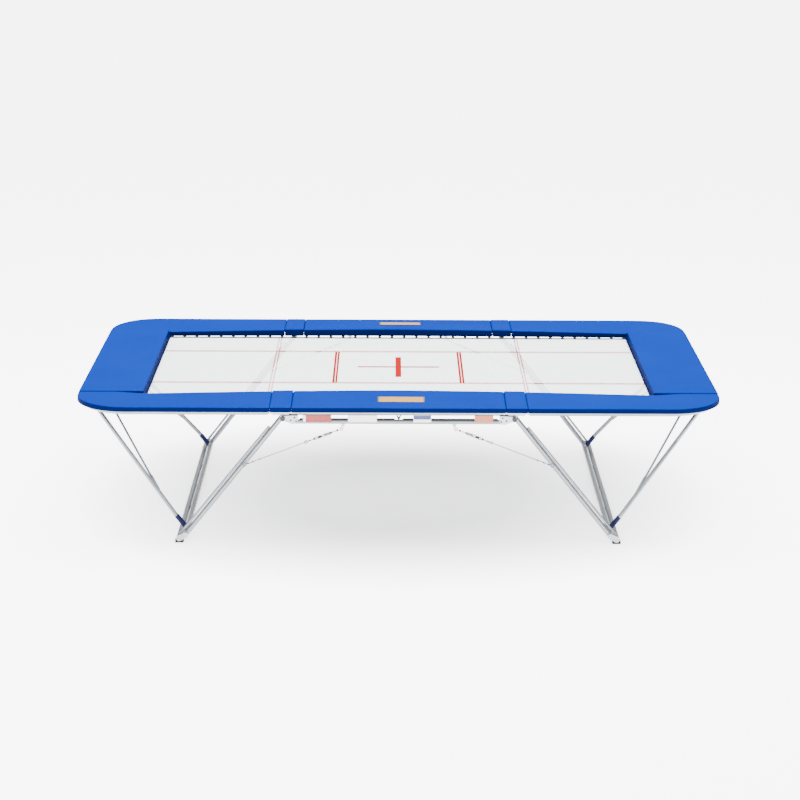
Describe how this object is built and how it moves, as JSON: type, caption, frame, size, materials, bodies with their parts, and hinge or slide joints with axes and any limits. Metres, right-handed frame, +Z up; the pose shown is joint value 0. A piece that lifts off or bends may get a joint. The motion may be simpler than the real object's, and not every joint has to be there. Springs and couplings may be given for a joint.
{
  "type": "folding competition trampoline",
  "caption": "Rectangular folding trampoline with woven bed, side springs, padded three-section steel frame, splayed leg frames, stay cables and V-shaped end braces.",
  "frame": {"origin": "on the floor under the middle of the frame", "axes": "+X along the length, +Y across the width, +Z up"},
  "size_m": [5.27, 3.09, 1.2173],
  "materials": {
    "zinc_tube": "bright zinc plated tube",
    "zinc_hardware": "zinc plated plate and pins",
    "dark_hardware": "black knobs on plated bolts",
    "spring_steel": "plated spring wire",
    "bed_webbing": "woven white webbing",
    "pad_fabric": "coated blue cover fabric over foam",
    "label_plate": "blank printed plate",
    "blue_socket": "moulded",
    "rubber": "matt",
    "wire_rope": "galvanised wire rope"
  },
  "bodies": {
    "centre_frame": {"cable_anchors": "zinc_hardware", "centre_bed": "bed_webbing", "centre_far_rail": "zinc_tube", "centre_hinge_ears": "zinc_hardware", "centre_near_rail": "zinc_tube", "centre_springs": "spring_steel", "far_centre_pad": "pad_fabric", "far_lower_rail": "zinc_tube", "label_plates": "label_plate", "left_stay_cables": "wire_rope", "leg_pivot_bolts": "dark_hardware", "leg_pivot_plates": "zinc_hardware", "near_centre_pad": "pad_fabric", "near_lower_rail": "zinc_tube", "rail_clips": "zinc_hardware", "right_stay_cables": "wire_rope"},
    "left_link": {"left_hinge_links": "zinc_hardware", "left_hinge_pads": "pad_fabric", "left_link_springs": "spring_steel"},
    "left_end": {"left_side_rails": "zinc_tube", "left_corner_bends": "zinc_tube", "left_end_tube": "zinc_tube", "left_hinge_ears": "zinc_hardware", "left_brace_ears": "zinc_hardware", "left_bed": "bed_webbing", "left_springs": "spring_steel", "left_corner_pads": "pad_fabric", "left_end_pad": "pad_fabric"},
    "left_leg": {"left_leg_tubes": "zinc_tube", "left_leg_stays": "zinc_tube", "left_floor_tube": "zinc_tube", "left_cross_tube": "zinc_tube", "left_leg_fittings": "zinc_hardware", "left_feet": "rubber"},
    "left_near_brace": {"left_near_brace": "zinc_tube", "left_near_brace_socket": "blue_socket"},
    "left_far_brace": {"left_far_brace": "zinc_tube", "left_far_brace_socket": "blue_socket"},
    "right_link": {"right_hinge_links": "zinc_hardware", "right_hinge_pads": "pad_fabric", "right_link_springs": "spring_steel"},
    "right_end": {"right_side_rails": "zinc_tube", "right_corner_bends": "zinc_tube", "right_end_tube": "zinc_tube", "right_hinge_ears": "zinc_hardware", "right_brace_ears": "zinc_hardware", "right_bed": "bed_webbing", "right_springs": "spring_steel", "right_corner_pads": "pad_fabric", "right_end_pad": "pad_fabric"},
    "right_leg": {"right_leg_tubes": "zinc_tube", "right_leg_stays": "zinc_tube", "right_floor_tube": "zinc_tube", "right_cross_tube": "zinc_tube", "right_leg_fittings": "zinc_hardware", "right_feet": "rubber"},
    "right_near_brace": {"right_near_brace": "zinc_tube", "right_near_brace_socket": "blue_socket"},
    "right_far_brace": {"right_far_brace": "zinc_tube", "right_far_brace_socket": "blue_socket"}
  },
  "joints": [
    {"name": "left_fold", "type": "hinge", "parent": "centre_frame", "child": "left_link", "pos_m": [-0.88, 0, 1.162], "axis": [0, 1, 0], "range_deg": [0, 76], "deforming": ["left_hinge_pads"]},
    {"name": "left_end_hinge", "type": "hinge", "parent": "left_link", "child": "left_end", "pos_m": [-1.026, 0, 1.162], "axis": [0, 1, 0], "range_deg": [0, 76]},
    {"name": "left_leg_fold", "type": "hinge", "parent": "centre_frame", "child": "left_leg", "pos_m": [-0.934, 0, 1.115], "axis": [0, -1, 0], "range_deg": [0, 120], "deforming": ["left_stay_cables"]},
    {"name": "left_near_brace_hinge", "type": "hinge", "parent": "left_end", "child": "left_near_brace", "pos_m": [-2.564, 0, 1.115], "axis": [0, -1, 0], "range_deg": [0, 46]},
    {"name": "left_far_brace_hinge", "type": "hinge", "parent": "left_end", "child": "left_far_brace", "pos_m": [-2.564, 0, 1.115], "axis": [0, -1, 0], "range_deg": [0, 46]},
    {"name": "right_fold", "type": "hinge", "parent": "centre_frame", "child": "right_link", "pos_m": [0.88, 0, 1.162], "axis": [0, -1, 0], "range_deg": [0, 54], "deforming": ["right_hinge_pads"]},
    {"name": "right_end_hinge", "type": "hinge", "parent": "right_link", "child": "right_end", "pos_m": [1.026, 0, 1.162], "axis": [0, -1, 0], "range_deg": [0, 54]},
    {"name": "right_leg_fold", "type": "hinge", "parent": "centre_frame", "child": "right_leg", "pos_m": [0.934, 0, 1.115], "axis": [0, 1, 0], "range_deg": [0, 96], "deforming": ["right_stay_cables"]},
    {"name": "right_near_brace_hinge", "type": "hinge", "parent": "right_end", "child": "right_near_brace", "pos_m": [2.564, 0, 1.115], "axis": [0, 1, 0], "range_deg": [0, 46]},
    {"name": "right_far_brace_hinge", "type": "hinge", "parent": "right_end", "child": "right_far_brace", "pos_m": [2.564, 0, 1.115], "axis": [0, 1, 0], "range_deg": [0, 46]}
  ],
  "couplings": [
    {"joint": "left_end_hinge", "follows": "left_fold", "ratio": 1},
    {"joint": "left_near_brace_hinge", "follows": "left_fold", "ratio": 0.6052},
    {"joint": "left_far_brace_hinge", "follows": "left_fold", "ratio": 0.6052},
    {"joint": "right_end_hinge", "follows": "right_fold", "ratio": 1},
    {"joint": "right_near_brace_hinge", "follows": "right_fold", "ratio": 0.8518},
    {"joint": "right_far_brace_hinge", "follows": "right_fold", "ratio": 0.8518}
  ]
}
